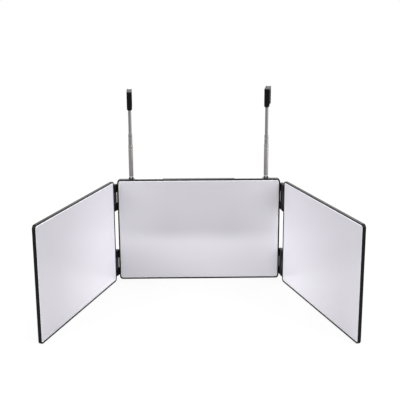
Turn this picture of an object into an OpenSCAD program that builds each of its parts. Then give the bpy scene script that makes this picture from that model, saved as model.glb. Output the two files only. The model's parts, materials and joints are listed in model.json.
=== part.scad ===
// Tri-fold mirror with two telescopic over-the-door hooks, in millimetres.
// Origin: middle of the centre panel's bottom face. +X to the viewer's right, +Y away from the viewer, +Z up.

/* [Panels] */
// Width of each of the three panels
panel_w = 290; // [240:1:340]
// Height of each panel
panel_h = 186; // [160:1:240]
// Radius of a panel's corners
corner_r = 6; // [4:0.5:12]
// Width of the black rim round the glass
rim_w = 2.3; // [1.5:0.1:3.5]
// How far the rim stands above the glass
rim_proud = 0.5; // [0.2:0.1:1]
// Thickness of the mirror glass
glass_t = 1.6; // [1.2:0.1:2.4]
// Thickness of the adhesive foam tape behind the glass
tape_t = 0.4; // [0.2:0.1:0.8]
// Width of a strip of tape
tape_w = 14; // [8:1:24]
// Distance of the tape from the glass edge
tape_inset = 6; // [3:1:15]
// Thickness of the tray floor behind the tape
floor_t = 2.5; // [1.8:0.1:3]
// Gap between the glass edge and the rim
glass_gap = 0.15; // [0.05:0.05:0.4]

/* [Covers on the back of the centre panel] */
// Height of the raised covers above the back of the tray
cover_t = 4.75; // [4:0.25:8]
// Wall and face thickness of a cover
shell_t = 1.5; // [1.2:0.1:2.2]
// Space left between a folded hook and the middle cover
bay_clear = 10; // [4:1:20]
// Gap between a rod socket and the side cover beside it
rib_gap = 0.3; // [0.2:0.1:1]
// Diameter of a screw pillar inside a cover
boss_d = 6; // [5:0.5:8]
// Distance of a cover screw from the end of its cover
cover_screw_inset = 18; // [12:1:30]
// Distance of a middle cover screw from the side of its cover
cover_screw_side = 10; // [8:1:20]

/* [Hinges] */
// Height of one hinge
hinge_h = 48; // [36:1:60]
// Distance of a hinge from the top or bottom of the panel
hinge_margin = 8; // [6:1:16]
// Height of the middle knuckle, with its running gaps
middle_h = 19; // [12:1:24]
// Gap between panels when the wings are folded flat
fold_gap = 2.9; // [2.6:0.1:6]
// Thickness of a link between its two knuckles, on the left side
web_t = 1.4; // [1:0.1:2]
// Running gap round a knuckle inside a link
knuckle_gap = 0.25; // [0.15:0.05:0.4]
// Gap between a link and the panel edge beside it
edge_gap = 0.2; // [0.15:0.05:0.4]
// Diameter of a hinge pin
pin_d = 2; // [1.5:0.1:2.6]
// Thickness of a hinge leaf
leaf_t = 1; // [0.8:0.1:1.2]
// How far a leaf reaches under the panel
leaf_reach = 12; // [9:1:16]
// Height of a leaf
leaf_h = 42; // [30:1:48]
// Distance between the two rivets of a leaf
rivet_pitch = 30; // [22:1:34]
// Diameter of a rivet shank
rivet_d = 2; // [1.5:0.1:2.4]

/* [Rods] */
// Distance of a rod's axis from the side of the panel
rod_inset = 25; // [22:1:40]
// Diameter of the lower tube
outer_d = 7.9; // [7.6:0.1:10]
// Diameter of the middle tube
middle_d = 7; // [6.6:0.1:7.1]
// Diameter of the upper rod
inner_d = 5.6; // [4:0.1:5.8]
// Length of the lower tube
outer_len = 55.8; // [52:0.5:80]
// Length of the middle tube
middle_len = 52.5; // [42:0.5:52.5]
// Length of the upper rod below its hook
inner_below = 56; // [56:0.5:64]
// Length of the friction sleeve at the foot of a section
sleeve_len = 5; // [3:0.5:5.5]
// Length of the rolled lip at the top of a tube
lip_len = 1.5; // [1:0.1:1.9]
// How far a sleeve stands out from its section
sleeve_proud = 0.1; // [0.08:0.01:0.12]
// Thickness of a sleeve
sleeve_t = 0.3; // [0.2:0.05:0.4]
// Height of the rod pivot above the top of the panel
pivot_rise = 0.6; // [0:0.1:1.5]
// Radius of a socket ear
ear_r = 2.7; // [2.3:0.1:3.4]
// Thickness of the tongue between the ears
tongue_t = 3.2; // [2:0.1:3.6]
// Diameter of the pivot pin
pivot_d = 2; // [1.5:0.1:2.4]
// Length of the plug inside the lower tube
plug_len = 4; // [3:0.5:6]
// Thickness of the socket's base plate
base_t = 1.05; // [1:0.05:2]
// Height of the socket's base plate
base_h = 28; // [24:1:36]
// Height of the socket's side cheeks
cheek_h = 12; // [9:1:16]
// Thickness of a side cheek
cheek_t = 2.1; // [1.5:0.1:3]

/* [Hooks] */
// Width of a hook
hook_w = 9.1; // [7.6:0.1:12]
// Height of a hook
hook_h = 32.3; // [28:0.5:50]
// Clear depth between the legs, for the door
hook_gap = 38; // [30:1:50]
// Thickness of the front leg, which holds the rod
front_leg_t = 8; // [7.2:0.1:11]
// Thickness of the rear leg
rear_leg_t = 4; // [3:0.1:6]
// Thickness of the bridge over the door
bridge_t = 5; // [4:0.1:8]
// How much lower the rear leg reaches
rear_drop = 1; // [0:0.5:8]
// Radius of the outer corners
hook_r = 3; // [2:0.5:4]
// Radius of the ends of the legs, seen from the front
leg_end_r = 3.2; // [2:0.1:3.8]
// Depth of the channel along the outside of a hook
channel_depth = 0.6; // [0.3:0.1:1]
// Width of that channel
channel_w = 4; // [2:0.5:5]
// Depth of the bore for the rod
bore_depth = 24; // [16:1:25]
// Thickness of the soft pads in the throat
pad_t = 1; // [0.5:0.1:2]
// Height of the retaining screw above the foot of the front leg
screw_rise = 4.5; // [4:0.5:10]

/* [Positions in the photograph] */
// Angle of the left link, from flat open
left_link_angle = 69.6; // [0:0.1:90]
// Angle of the left wing, from flat open
left_wing_angle = 72.1; // [0:0.1:90]
// Angle of the right link, from flat open
right_link_angle = 81; // [0:0.1:90]
// Angle of the right wing, from flat open
right_wing_angle = 73.2; // [0:0.1:90]
// Turn of the left hook about its rod, outwards
left_hook_turn = 3.8; // [0:0.1:15]
// Turn of the right hook about its rod, outwards
right_hook_turn = 8.2; // [0:0.1:15]
// Length of middle tube that shows, left
left_middle_out = 19.4; // [14:0.1:36]
// Length of middle tube that shows, right
right_middle_out = 16.2; // [14:0.1:36]
// Length of upper rod that shows, left
left_inner_out = 41.8; // [10:0.1:46]
// Length of upper rod that shows, right
right_inner_out = 49; // [10:0.1:49]

/* [Hidden] */
$fn = 64;

LEFT = 0;
RIGHT = 1;
fit = 0.05;
seam = 0.1;
cut = 1;

// Thickness of a panel, and the planes inside it
frame_t = floor_t + tape_t + glass_t + rim_proud;
front_y = -frame_t / 2;
back_y = frame_t / 2;
glass_y = front_y + rim_proud;
tape_y = glass_y + glass_t;
floor_y = tape_y + tape_t;

// Each wing folds flat one panel and one gap further forward than the one before it
fold_step = frame_t + fold_gap;
link_len = [fold_step, 2 * fold_step];
knuckle_r = (fold_step - web_t) / 2 - knuckle_gap;
axis_out = knuckle_r + edge_gap;
end_h = (hinge_h - middle_h) / 2;
hinge_z = [hinge_margin, panel_h - hinge_margin - hinge_h];
link_angle = [left_link_angle, right_link_angle];
wing_angle = [left_wing_angle, right_wing_angle];
arm_inset = 0.25;
rivet_in = leaf_reach / 2;
rivet_rim = 0.9;
rivet_head_d = rivet_d + 2 * rivet_rim;
rivet_head_t = leaf_t / 2;

// Rods stand behind the tray, clear of it when they are folded down
socket_gap = 0.2;
rod_x = panel_w / 2 - rod_inset;
rod_y = back_y + base_t + socket_gap + outer_d / 2;
pivot_z = panel_h + pivot_rise;
shoulder_t = 1;
ear_clear = 0.9;
neck = ear_r + ear_clear;
tube_foot = pivot_z + neck + shoulder_t;
outer_top = tube_foot + outer_len;
middle_out = [left_middle_out, right_middle_out];
inner_out = [left_inner_out, right_inner_out];
hook_turn = [left_hook_turn, right_hook_turn];
groove_half = outer_d / 2 + socket_gap + seam;
socket_half = groove_half + cheek_t;
socket_slot = tongue_t / 2 + socket_gap;
ear_half = outer_d / 2;
web_drop = ear_clear - socket_gap - seam;
web_foot = pivot_z - ear_r - web_drop;
tongue_inset = 0.3;
tongue_r = ear_r - tongue_inset;
screw_d = 2;
screw_head_d = 3.6;
drive_w = 1.8;
drive_d = 0.45;
base_screw_z = [panel_h - base_h + screw_head_d, panel_h - base_h + 3 * screw_head_d];

// Covers leave the bays in which the folded rods and hooks lie
rib_w = rod_inset - socket_half - rib_gap;
cover_half = rod_x - hook_gap - front_leg_t / 2 - rear_leg_t - bay_clear;
screw_skin = 0.4;
screw_tip_y = floor_y + screw_skin;
rib_screw_x = panel_w / 2 - rib_w / 2;
rib_screw_z = hinge_margin + hinge_h + boss_d;
screw_bores_at = concat(
    [for (z = [cover_screw_inset, panel_h - cover_screw_inset])
        for (x = [cover_screw_side - cover_half, cover_half - cover_screw_side]) [x, z]],
    [for (z = [rib_screw_z, panel_h - rib_screw_z]) for (x = [-rib_screw_x, rib_screw_x]) [x, z]]
);

// Radii inside the telescopic tubes
middle_r = middle_d / 2;
inner_r = inner_d / 2;
outer_bore_r = middle_r + sleeve_proud + fit;
middle_bore_r = inner_r + sleeve_proud + fit;
hook_screw_d = 2;
hook_groove = 0.6;
hook_slot = 0.5;
pad_edge = 0.6;
pad_foot = 3;

// Flat helpers
module rounded(x0, x1, z0, z1, r) {
    translate([x0 + r, z0]) square([x1 - x0 - 2 * r, z1 - z0]);
    translate([x0, z0 + r]) square([x1 - x0, z1 - z0 - 2 * r]);
    for (x = [x0 + r, x1 - r]) for (z = [z0 + r, z1 - r]) translate([x, z]) circle(r);
}

// Gives an outline drawn in X and Z a thickness from y0 to y1
module slab(y0, y1) {
    translate([0, y1, 0]) rotate([90, 0, 0]) linear_extrude(y1 - y0) children();
}

// A round bar along Y, for screws, rivets and their holes
module bar_y(x, z, r, y0, y1) {
    translate([x, y1, z]) rotate([90, 0, 0]) cylinder(r = r, h = y1 - y0);
}

// A round bar along Z
module bar_z(r, z0, z1) {
    translate([0, 0, z0]) cylinder(r = r, h = z1 - z0);
}

// A round bar along X, about the origin
module bar_x(r, half) {
    translate([-half, 0, 0]) rotate([0, 90, 0]) cylinder(r = r, h = 2 * half);
}

// A turned piece, from a profile of [radius, height] points
module turned(profile) {
    rotate_extrude() polygon(profile);
}

// Crossed recess for a screwdriver, cut down from y1
module drive(x, z, y1) {
    for (w = [[drive_w, drive_d], [drive_d, drive_w]])
        translate([x - w[0] / 2, y1 - drive_d, z - w[1] / 2]) cube([w[0], drive_d + cut, w[1]]);
}

// Frames of reference: everything on a side is drawn as on the right, and mirrored for the left
module on_side(side) {
    if (side == LEFT) mirror([1, 0, 0]) children();
    else children();
}

module at_inner_axis() {
    translate([panel_w / 2 + axis_out, 0, 0]) children();
}

module in_link(side) {
    on_side(side) at_inner_axis() rotate([0, 0, -link_angle[side]]) children();
}

// Origin on the wing's hinge axis, +X along the wing and away from the centre panel
module in_wing(side) {
    in_link(side) translate([link_len[side], 0, 0])
        rotate([0, 0, link_angle[side] - wing_angle[side]]) children();
}

module at_rod(side) {
    on_side(side) translate([rod_x, rod_y, 0]) children();
}

function middle_top(side) = outer_top + middle_out[side];
function hook_foot(side) = middle_top(side) + inner_out[side];

module at_hook(side) {
    at_rod(side) translate([0, 0, hook_foot(side)]) rotate([0, 0, -hook_turn[side]]) children();
}

// Recesses and rivet holes for the two hinge leaves let into the panel edge at x = 0
module leaf_recesses() {
    for (z = hinge_z) translate([0, 0, z + hinge_h / 2]) {
        translate([-cut, back_y - leaf_t, -leaf_h / 2 - seam])
            cube([leaf_reach + seam + cut, leaf_t + cut, leaf_h + 2 * seam]);
        for (dz = [-rivet_pitch / 2, rivet_pitch / 2])
            bar_y(rivet_in, dz, rivet_d / 2 + fit, floor_y - cut, back_y + cut);
    }
}

// Tray of a panel from x0 to x0 + panel_w
module tray(x0) {
    difference() {
        slab(front_y, back_y) rounded(x0, x0 + panel_w, 0, panel_h, corner_r);
        slab(front_y - cut, floor_y)
            rounded(x0 + rim_w, x0 + panel_w - rim_w, rim_w, panel_h - rim_w, corner_r - rim_w);
        children();
    }
}

module glass(x0) {
    edge = rim_w + glass_gap;
    slab(glass_y, tape_y)
        rounded(x0 + edge, x0 + panel_w - edge, edge, panel_h - edge, corner_r - edge);
}

module tape(x0) {
    edge = rim_w + tape_inset;
    span = panel_h - 2 * edge - tape_w;
    for (i = [0:2]) translate([x0 + edge, tape_y, edge + i * span / 2])
        cube([panel_w - 2 * edge, tape_t, tape_w]);
}

// Hinge half with its knuckle on the origin's axis; the panel lies towards +X
module hinge_half() {
    h = middle_h - 2 * seam;
    difference() {
        union() {
            bar_z(knuckle_r, -h / 2, h / 2);
            translate([0, front_y + arm_inset, -h / 2])
                cube([axis_out - fit, frame_t - arm_inset, h]);
            translate([0, back_y - leaf_t, -h / 2]) cube([axis_out + leaf_reach, leaf_t, h]);
            translate([axis_out, back_y - leaf_t, -leaf_h / 2]) cube([leaf_reach, leaf_t, leaf_h]);
        }
        bar_z(pin_d / 2 + fit, -hinge_h, hinge_h);
        for (dz = [-rivet_pitch / 2, rivet_pitch / 2]) {
            bar_y(axis_out + rivet_in, dz, rivet_d / 2 + fit, 0, back_y + cut);
            bar_y(axis_out + rivet_in, dz, rivet_head_d / 2 + fit, back_y - rivet_head_t, back_y + cut);
        }
    }
}

// Rivets of one leaf, drawn as the hinge half is
module leaf_rivets() {
    for (dz = [-rivet_pitch / 2, rivet_pitch / 2]) {
        bar_y(axis_out + rivet_in, dz, rivet_d / 2, floor_y + fit, back_y - rivet_head_t);
        bar_y(axis_out + rivet_in, dz, rivet_head_d / 2, back_y - rivet_head_t, back_y);
    }
}

// Link: a full knuckle pair at the top and bottom, and a web between the middle knuckles
module link(side, z0) {
    far = link_len[side];
    web_x = knuckle_r + knuckle_gap;
    color("#1d1d1f") in_link(side) difference() {
        union() {
            for (z = [z0, z0 + hinge_h - end_h]) {
                bar_z(knuckle_r, z, z + end_h);
                translate([far, 0, 0]) bar_z(knuckle_r, z, z + end_h);
                translate([0, -knuckle_r, z]) cube([far, 2 * knuckle_r, end_h]);
                // Square heel that meets the panel edge when the link lies flat open
                translate([-knuckle_r, 0, z]) cube([knuckle_r, knuckle_r, end_h]);
            }
            translate([web_x, -knuckle_r, z0]) cube([far - 2 * web_x, 2 * knuckle_r, hinge_h]);
        }
        for (x = [0, far]) translate([x, 0, 0]) bar_z(pin_d / 2 + fit, z0 - cut, z0 + hinge_h + cut);
    }
}

module link_pins(side) {
    color("#606368") in_link(side) for (z = hinge_z) for (x = [0, link_len[side]])
        translate([x, 0, 0]) bar_z(pin_d / 2, z, z + hinge_h);
}

// Hollow cover on the back of the centre panel, with pillars for its screws
module cover(x0, x1) {
    top = back_y + cover_t;
    difference() {
        union() {
            difference() {
                slab(back_y, top) children();
                slab(back_y - cut, top - shell_t)
                    translate([x0 + shell_t, shell_t])
                        square([x1 - x0 - 2 * shell_t, panel_h - 2 * shell_t]);
            }
            for (p = screw_bores_at) if (p[0] > x0 && p[0] < x1)
                bar_y(p[0], p[1], boss_d / 2, back_y, top - seam);
        }
        for (p = screw_bores_at) {
            bar_y(p[0], p[1], screw_d / 2 + seam, back_y - cut, top + cut);
            bar_y(p[0], p[1], screw_head_d / 2 + seam, top - shell_t / 2, top + cut);
        }
    }
}

// Outline of the panel cut down to a strip, so that a cover's corners follow the tray's
module strip(x0, x1) {
    intersection() {
        rounded(-panel_w / 2, panel_w / 2, 0, panel_h, corner_r);
        translate([x0, 0]) square([x1 - x0, panel_h]);
    }
}

module centre_tray() {
    color("#1c1c1e") tray(-panel_w / 2) {
        for (side = [LEFT, RIGHT]) on_side(side) {
            translate([panel_w / 2, 0, 0]) mirror([1, 0, 0]) leaf_recesses();
            for (z = base_screw_z) bar_y(rod_x, z, screw_d / 2 + fit, screw_tip_y - seam, back_y + cut);
        }
        for (p = screw_bores_at) bar_y(p[0], p[1], screw_d / 2 + fit, screw_tip_y - seam, back_y + cut);
    }
}

module centre_mirror() {
    color("#d0cdd2") glass(-panel_w / 2);
}

module centre_tape() {
    color("#e8e6e0") tape(-panel_w / 2);
}

module middle_cover() {
    color("#2a2a2c") cover(-cover_half, cover_half) strip(-cover_half, cover_half);
}

module side_cover(side) {
    x = panel_w / 2;
    color("#1c1c1e") on_side(side) cover(x - rib_w, x) strip(x - rib_w, x);
}

module cover_screws() {
    top = back_y + cover_t;
    color("#6f7276") for (p = screw_bores_at) {
        bar_y(p[0], p[1], screw_d / 2, screw_tip_y, top - shell_t / 2);
        difference() {
            bar_y(p[0], p[1], screw_head_d / 2, top - shell_t / 2, top - seam);
            drive(p[0], p[1], top - seam);
        }
    }
}

// Socket behind the top edge: a screwed plate, a cheek on each side of the folded rod, and two ears
module rod_socket(side) {
    plate_y = back_y - rod_y;
    color("#1a1a1c") at_rod(side) difference() {
        union() {
            translate([-socket_half, plate_y, panel_h - base_h]) cube([2 * socket_half, base_t, base_h]);
            for (x = [-socket_half, groove_half]) translate([x, plate_y, panel_h - cheek_h])
                cube([cheek_t, ear_r - plate_y, cheek_h]);
            translate([-groove_half, plate_y, web_foot])
                cube([2 * groove_half, -plate_y, panel_h - web_foot]);
            translate([-ear_half, -ear_r, web_foot]) cube([2 * ear_half, ear_r, pivot_z - web_foot]);
            translate([0, 0, pivot_z]) bar_x(ear_r, ear_half);
        }
        translate([-socket_slot, -ear_r - socket_gap, web_foot - cut])
            cube([2 * socket_slot, 3 * ear_r, ear_r + pivot_z - web_foot + 2 * cut]);
        translate([0, 0, pivot_z]) bar_x(pivot_d / 2 + fit, ear_half + cut);
        for (z = base_screw_z) {
            bar_y(0, z, screw_d / 2 + fit, plate_y - cut, plate_y + base_t + cut);
            bar_y(0, z, screw_head_d / 2 + fit, plate_y + base_t / 2, plate_y + base_t + cut);
        }
    }
}

module socket_screws() {
    top = back_y + base_t;
    color("#6f7276") for (side = [LEFT, RIGHT]) on_side(side) for (z = base_screw_z) {
        bar_y(rod_x, z, screw_d / 2, screw_tip_y, top - base_t / 2);
        difference() {
            bar_y(rod_x, z, screw_head_d / 2, top - base_t / 2, top);
            drive(rod_x, z, top);
        }
    }
}

module pivot_pin(side) {
    color("#8d9093") at_rod(side) translate([0, 0, pivot_z]) bar_x(pivot_d / 2, ear_half);
}

module centre_hinge(side, z0) {
    color("#7d8084") on_side(side) at_inner_axis()
        translate([0, 0, z0 + hinge_h / 2]) mirror([1, 0, 0]) hinge_half();
}

module centre_rivets() {
    color("#a0a2a5") for (side = [LEFT, RIGHT]) on_side(side) at_inner_axis()
        for (z = hinge_z) translate([0, 0, z + hinge_h / 2]) mirror([1, 0, 0]) leaf_rivets();
}

module wing_tray(side) {
    color("#1c1c1e") in_wing(side) tray(axis_out) translate([axis_out, 0, 0]) leaf_recesses();
}

module wing_mirror(side) {
    color("#d0cdd2") in_wing(side) glass(axis_out);
}

module wing_tape(side) {
    color("#e8e6e0") in_wing(side) tape(axis_out);
}

module wing_hinge(side, z0) {
    color("#55585c") in_wing(side) translate([0, 0, z0 + hinge_h / 2]) hinge_half();
}

module wing_rivets(side) {
    color("#a0a2a5") in_wing(side) for (z = hinge_z) translate([0, 0, z + hinge_h / 2]) leaf_rivets();
}

// Tongue in the socket, with a shoulder under the lower tube and a plug inside it
module rod_knuckle(side) {
    color("#a8aaac") at_rod(side) difference() {
        union() {
            translate([0, 0, pivot_z]) bar_x(tongue_r, tongue_t / 2);
            translate([-tongue_t / 2, -tongue_r, pivot_z]) cube([tongue_t, 2 * tongue_r, neck]);
            bar_z(outer_d / 2, pivot_z + neck, tube_foot);
            bar_z(outer_bore_r - fit, tube_foot, tube_foot + plug_len);
        }
        translate([0, 0, pivot_z]) bar_x(pivot_d / 2 + fit, tongue_t);
    }
}

// Tube from foot to top, with a lip turned in at the top and a seat for a sleeve at the foot
module rod_tube(r, seat_r, bore_r, lip_r, foot, top) {
    edge = (r - lip_r) / 2;
    turned([
        [bore_r, foot], [seat_r, foot], [seat_r, foot + sleeve_len], [r, foot + sleeve_len],
        [r, top - edge], [r - edge, top], [lip_r, top], [lip_r, top - lip_len], [bore_r, top - lip_len]
    ]);
}

module sleeve(r, foot) {
    out = r + sleeve_proud;
    turned([
        [out - sleeve_t, foot + fit], [out, foot + fit],
        [out, foot + sleeve_len - fit], [out - sleeve_t, foot + sleeve_len - fit]
    ]);
}

function seat_r(r) = r + sleeve_proud - sleeve_t - fit;

module lower_tube(side) {
    color("#9a9c9f") at_rod(side)
        rod_tube(outer_d / 2, outer_d / 2, outer_bore_r, middle_r + fit, tube_foot, outer_top);
}

module middle_tube(side) {
    top = middle_top(side);
    color("#a2a4a7") at_rod(side)
        rod_tube(middle_r, seat_r(middle_r), middle_bore_r, inner_r + fit, top - middle_len, top);
}

module middle_sleeve(side) {
    color("#b79a5b") at_rod(side) sleeve(middle_r, middle_top(side) - middle_len);
}

// Upper rod, with a ring groove in which the hook's screw turns
module upper_rod(side) {
    foot = hook_foot(side) - inner_below;
    groove = hook_foot(side) + screw_rise;
    half = hook_screw_d / 2 + seam;
    top = hook_foot(side) + bore_depth - seam;
    color("#aaacaf") at_rod(side) turned([
        [0, foot], [seat_r(inner_r), foot],
        [seat_r(inner_r), foot + sleeve_len], [inner_r, foot + sleeve_len],
        [inner_r, groove - half], [inner_r - hook_groove, groove - half],
        [inner_r - hook_groove, groove + half], [inner_r, groove + half],
        [inner_r, top], [0, top]
    ]);
}

module upper_sleeve(side) {
    color("#b79a5b") at_rod(side) sleeve(inner_r, hook_foot(side) - inner_below);
}

// Side view of the hook's outside, drawn in by inset; first coordinate along +Y, second along +Z
module hook_outside(inset) {
    front = -front_leg_t / 2 + inset;
    rear = front_leg_t / 2 + hook_gap + rear_leg_t - inset;
    r = hook_r - inset;
    foot = -rear_drop - cut;
    translate([front, foot]) square([rear - front, hook_h - inset - r - foot]);
    translate([front + r, foot]) square([rear - front - 2 * r, hook_h - inset - foot]);
    for (y = [front + r, rear - r]) translate([y, hook_h - inset - r]) circle(r);
}

// Gives a side view a width of w, centred on the hook
module across(w) {
    translate([-w / 2, 0, 0]) rotate([90, 0, 90]) linear_extrude(w) children();
}

// Front view of a leg: its end is rounded
module leg(y0, y1, foot) {
    x = hook_w / 2;
    slab(y0, y1) {
        translate([-x, foot + leg_end_r]) square([hook_w, hook_h - foot - leg_end_r]);
        translate([leg_end_r - x, foot]) square([hook_w - 2 * leg_end_r, leg_end_r]);
        for (s = [leg_end_r - x, x - leg_end_r]) translate([s, foot + leg_end_r]) circle(leg_end_r);
    }
}

module hook(side) {
    inner = front_leg_t / 2;
    rear = inner + hook_gap;
    color("#1b1b1d") at_hook(side) difference() {
        intersection() {
            across(hook_w) hook_outside(0);
            union() {
                leg(-inner, inner, 0);
                leg(rear, rear + rear_leg_t, -rear_drop);
                translate([-hook_w / 2, -inner, hook_h - bridge_t])
                    cube([hook_w, rear + rear_leg_t + inner, bridge_t]);
            }
        }
        across(channel_w) difference() {
            translate([-inner - cut, -rear_drop - cut])
                square([rear + rear_leg_t + inner + 2 * cut, hook_h + rear_drop + 2 * cut]);
            hook_outside(channel_depth);
        }
        bar_z(inner_r + fit, -cut, bore_depth);
        bar_y(0, screw_rise, hook_screw_d / 2 + fit, -inner - cut, 0);
    }
}

module hook_pads(side) {
    inner = front_leg_t / 2;
    rear = inner + hook_gap;
    roof = hook_h - bridge_t;
    w = hook_w - 2 * pad_edge;
    color("#3a3a3c") at_hook(side) {
        for (y = [inner, rear - pad_t]) translate([-w / 2, y, pad_foot])
            cube([w, pad_t, roof - pad_edge - pad_foot]);
        translate([-w / 2, inner + pad_t + pad_edge, roof - pad_t])
            cube([w, hook_gap - 2 * (pad_t + pad_edge), pad_t]);
    }
}

// Slotted screw whose tip runs in the rod's groove
module hook_screw(side) {
    head = channel_depth - front_leg_t / 2;
    color("#9a9c9f") at_hook(side) difference() {
        bar_y(0, screw_rise, hook_screw_d / 2, head, hook_groove - inner_r - seam);
        translate([-hook_screw_d, head - cut, screw_rise - hook_slot / 2])
            cube([2 * hook_screw_d, cut + hook_slot, hook_slot]);
    }
}

centre_tray();
centre_mirror();
centre_tape();
middle_cover();
side_cover(LEFT);  // left_side_cover
side_cover(RIGHT);  // right_side_cover
cover_screws();
rod_socket(LEFT);  // left_rod_socket
rod_socket(RIGHT);  // right_rod_socket
socket_screws();
pivot_pin(LEFT);  // left_pivot_pin
pivot_pin(RIGHT);  // right_pivot_pin
centre_hinge(LEFT, hinge_z[1]);  // centre_left_upper_hinge
centre_hinge(LEFT, hinge_z[0]);  // centre_left_lower_hinge
centre_hinge(RIGHT, hinge_z[1]);  // centre_right_upper_hinge
centre_hinge(RIGHT, hinge_z[0]);  // centre_right_lower_hinge
centre_rivets();
link(LEFT, hinge_z[1]);  // left_upper_link
link(LEFT, hinge_z[0]);  // left_lower_link
link_pins(LEFT);  // left_link_pins
link(RIGHT, hinge_z[1]);  // right_upper_link
link(RIGHT, hinge_z[0]);  // right_lower_link
link_pins(RIGHT);  // right_link_pins
wing_tray(LEFT);  // left_tray
wing_mirror(LEFT);  // left_mirror
wing_tape(LEFT);  // left_tape
wing_hinge(LEFT, hinge_z[1]);  // left_upper_hinge
wing_hinge(LEFT, hinge_z[0]);  // left_lower_hinge
wing_rivets(LEFT);  // left_rivets
wing_tray(RIGHT);  // right_tray
wing_mirror(RIGHT);  // right_mirror
wing_tape(RIGHT);  // right_tape
wing_hinge(RIGHT, hinge_z[1]);  // right_upper_hinge
wing_hinge(RIGHT, hinge_z[0]);  // right_lower_hinge
wing_rivets(RIGHT);  // right_rivets
rod_knuckle(LEFT);  // left_rod_knuckle
lower_tube(LEFT);  // left_lower_tube
middle_tube(LEFT);  // left_middle_tube
middle_sleeve(LEFT);  // left_middle_sleeve
upper_rod(LEFT);  // left_upper_rod
upper_sleeve(LEFT);  // left_upper_sleeve
hook(LEFT);  // left_hook
hook_pads(LEFT);  // left_hook_pads
hook_screw(LEFT);  // left_hook_screw
rod_knuckle(RIGHT);  // right_rod_knuckle
lower_tube(RIGHT);  // right_lower_tube
middle_tube(RIGHT);  // right_middle_tube
middle_sleeve(RIGHT);  // right_middle_sleeve
upper_rod(RIGHT);  // right_upper_rod
upper_sleeve(RIGHT);  // right_upper_sleeve
hook(RIGHT);  // right_hook
hook_pads(RIGHT);  // right_hook_pads
hook_screw(RIGHT);  // right_hook_screw
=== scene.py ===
"""Tri-fold mirror with telescopic hooks: surfaces, materials, stage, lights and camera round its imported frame."""

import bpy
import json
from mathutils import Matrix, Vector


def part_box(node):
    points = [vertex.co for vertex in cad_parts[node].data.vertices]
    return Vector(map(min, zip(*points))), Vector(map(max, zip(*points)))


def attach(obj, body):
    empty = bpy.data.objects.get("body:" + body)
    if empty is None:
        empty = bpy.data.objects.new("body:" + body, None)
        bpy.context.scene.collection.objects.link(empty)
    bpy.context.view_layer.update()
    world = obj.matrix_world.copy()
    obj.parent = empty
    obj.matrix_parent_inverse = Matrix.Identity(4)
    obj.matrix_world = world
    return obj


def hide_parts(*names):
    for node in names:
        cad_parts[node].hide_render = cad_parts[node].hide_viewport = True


bl_info = {
    "name": "Tri-fold Mirror",
    "version": (1, 0, 0),
    "blender": (4, 5, 0),
    "location": "3D View > Sidebar > Tri-fold Mirror",
    "description": "Builds the finished surfaces and materials of a tri-fold mirror on its packed frame",
    "category": "Object",
}

import json
import math
from types import SimpleNamespace

import bpy
import numpy as np
from bpy.props import FloatProperty, FloatVectorProperty, PointerProperty
from mathutils import Matrix, Vector

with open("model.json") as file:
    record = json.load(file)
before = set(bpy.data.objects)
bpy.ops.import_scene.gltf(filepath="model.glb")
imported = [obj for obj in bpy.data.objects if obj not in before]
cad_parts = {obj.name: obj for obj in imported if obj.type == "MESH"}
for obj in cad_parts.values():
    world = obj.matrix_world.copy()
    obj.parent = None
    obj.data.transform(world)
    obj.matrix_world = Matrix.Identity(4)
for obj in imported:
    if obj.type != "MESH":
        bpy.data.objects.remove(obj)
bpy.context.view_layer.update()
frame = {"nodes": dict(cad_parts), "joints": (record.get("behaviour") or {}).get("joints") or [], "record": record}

MM = 0.001
SIDES = {"left": -1.0, "right": 1.0}


# Sizes read from the frame, in millimetres

def span(node):
    """Lowest and highest corner of a CAD node in millimetres."""
    low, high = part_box(node)
    return np.array(low) / MM, np.array(high) / MM


TRAY_LOW, TRAY_HIGH = span("centre_tray")
PANEL_W = TRAY_HIGH[0] - TRAY_LOW[0]
PANEL_H = TRAY_HIGH[2] - TRAY_LOW[2]
FRONT_Y, BACK_Y = TRAY_LOW[1], TRAY_HIGH[1]
GLASS_Y, TAPE_Y = span("centre_mirror")[0][1], span("centre_mirror")[1][1]
JOINTS = {j["name"]: j for j in frame["joints"]}


def joint_xy(name, sign):
    """Place of a joint's axis, as on the right-hand side, in millimetres."""
    x, y = JOINTS[name]["pos_m"][:2]
    return sign * x / MM, y / MM


# Meshes: a part is (vertices, quads, caps), with vertices in millimetres

def signed_volume(verts, quads, caps):
    """Sum over triangles of the triple product over six, positive where faces point outwards."""
    tris = [quads[:, [0, 1, 2]], quads[:, [0, 2, 3]]]
    for cap in caps:
        tris.append(np.stack([np.full(len(cap) - 2, cap[0]), cap[1:-1], cap[2:]], 1))
    a, b, c = np.moveaxis(verts[np.concatenate(tris)], 1, 0)
    return np.einsum("ij,ij->", a, np.cross(b, c)) / 6


def outward(verts, quads, caps):
    """The part with its faces turned outwards."""
    if signed_volume(verts, quads, caps) < 0:
        quads, caps = quads[:, ::-1], [cap[::-1] for cap in caps]
    return verts, quads, caps


def strips(near, far=None):
    """Quads between rows of vertex numbers: each row with the next, or near with far, closed round each row."""
    near, far = (near[:-1], near[1:]) if far is None else (near, far)
    return np.stack([near, np.roll(near, -1, 1), np.roll(far, -1, 1), far], -1).reshape(-1, 4)


def loft(rings, wrap=False):
    """Closed surface through rings of points, rings[i, j] = ring i at station j round it.
    Its ends are flat caps, or with wrap its last ring joins its first."""
    rings = np.asarray(rings, float)
    count, around = rings.shape[:2]
    index = np.arange(count * around).reshape(count, around)
    quads = strips(index, np.roll(index, -1, 0)) if wrap else strips(index)
    caps = [] if wrap else [index[0][::-1], index[-1]]
    return outward(rings.reshape(-1, 3), quads, caps)


def arc(a0, a1, count):
    """Unit directions from angle a0 to a1, in degrees."""
    t = np.radians(np.linspace(a0, a1, count))
    return np.stack([np.cos(t), np.sin(t)], -1)


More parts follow.
